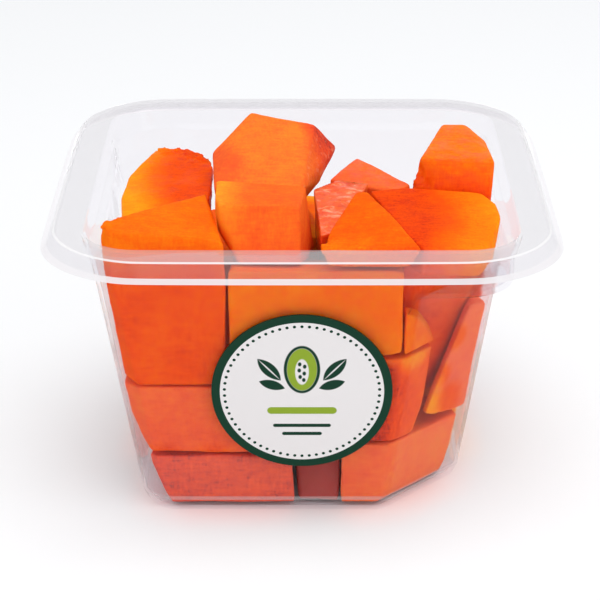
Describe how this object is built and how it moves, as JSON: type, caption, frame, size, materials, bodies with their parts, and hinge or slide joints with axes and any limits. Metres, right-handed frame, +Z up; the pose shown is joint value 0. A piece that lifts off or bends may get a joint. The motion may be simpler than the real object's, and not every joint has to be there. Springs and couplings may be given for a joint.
{
  "type": "tub of cut papaya",
  "caption": "Open square tub of clear plastic with a flared rim and cut-in corners, heaped with blocks of cut papaya, with a round printed label on its front wall.",
  "frame": {"origin": "centre of the tub's flat base, on the surface it stands on", "axes": "+Z up out of the tub's mouth, -Y towards the labelled front wall, +X to the right as seen from the front"},
  "size_m": [0.126, 0.126, 0.0933],
  "materials": {
    "clear_plastic": "clear thin formed plastic, smooth and glossy",
    "label_paper": "off-white printed sticker with a dark green ring, smooth with a soft shine",
    "papaya_yellow": "wet yellow-orange fruit flesh, the peeled side of a piece",
    "papaya_orange": "wet orange fruit flesh, knife cut",
    "papaya_red": "wet red-orange fruit flesh, near the seed side"
  },
  "bodies": {
    "root": {"label": "label_paper", "piece_front_gap": "papaya_red", "piece_front_left_high": "papaya_yellow", "piece_front_left_low": "papaya_red", "piece_front_left_mid": "papaya_red", "piece_front_middle_high": "papaya_yellow", "piece_front_middle_mid": "papaya_orange", "piece_front_right_high": "papaya_orange", "piece_front_right_low": "papaya_orange", "piece_front_right_mid": "papaya_red", "piece_left_low": "papaya_orange", "piece_left_mid": "papaya_yellow", "piece_middle_low": "papaya_red", "piece_middle_mid": "papaya_orange", "piece_rear_left_high": "papaya_yellow", "piece_rear_left_low": "papaya_yellow", "piece_rear_left_mid": "papaya_orange", "piece_rear_middle_low": "papaya_orange", "piece_rear_middle_mid": "papaya_yellow", "piece_rear_right_low": "papaya_red", "piece_rear_right_mid": "papaya_orange", "piece_right_corner": "papaya_red", "piece_right_high": "papaya_orange", "piece_right_low": "papaya_yellow", "piece_right_mid": "papaya_red", "piece_top_front_middle": "papaya_orange", "piece_top_front_wedge": "papaya_orange", "piece_top_middle_high": "papaya_orange", "piece_top_middle_rear": "papaya_red", "piece_top_right": "papaya_yellow", "piece_top_right_rear": "papaya_red", "piece_top_wet": "papaya_red", "tub": "clear_plastic"}
  },
  "joints": []
}
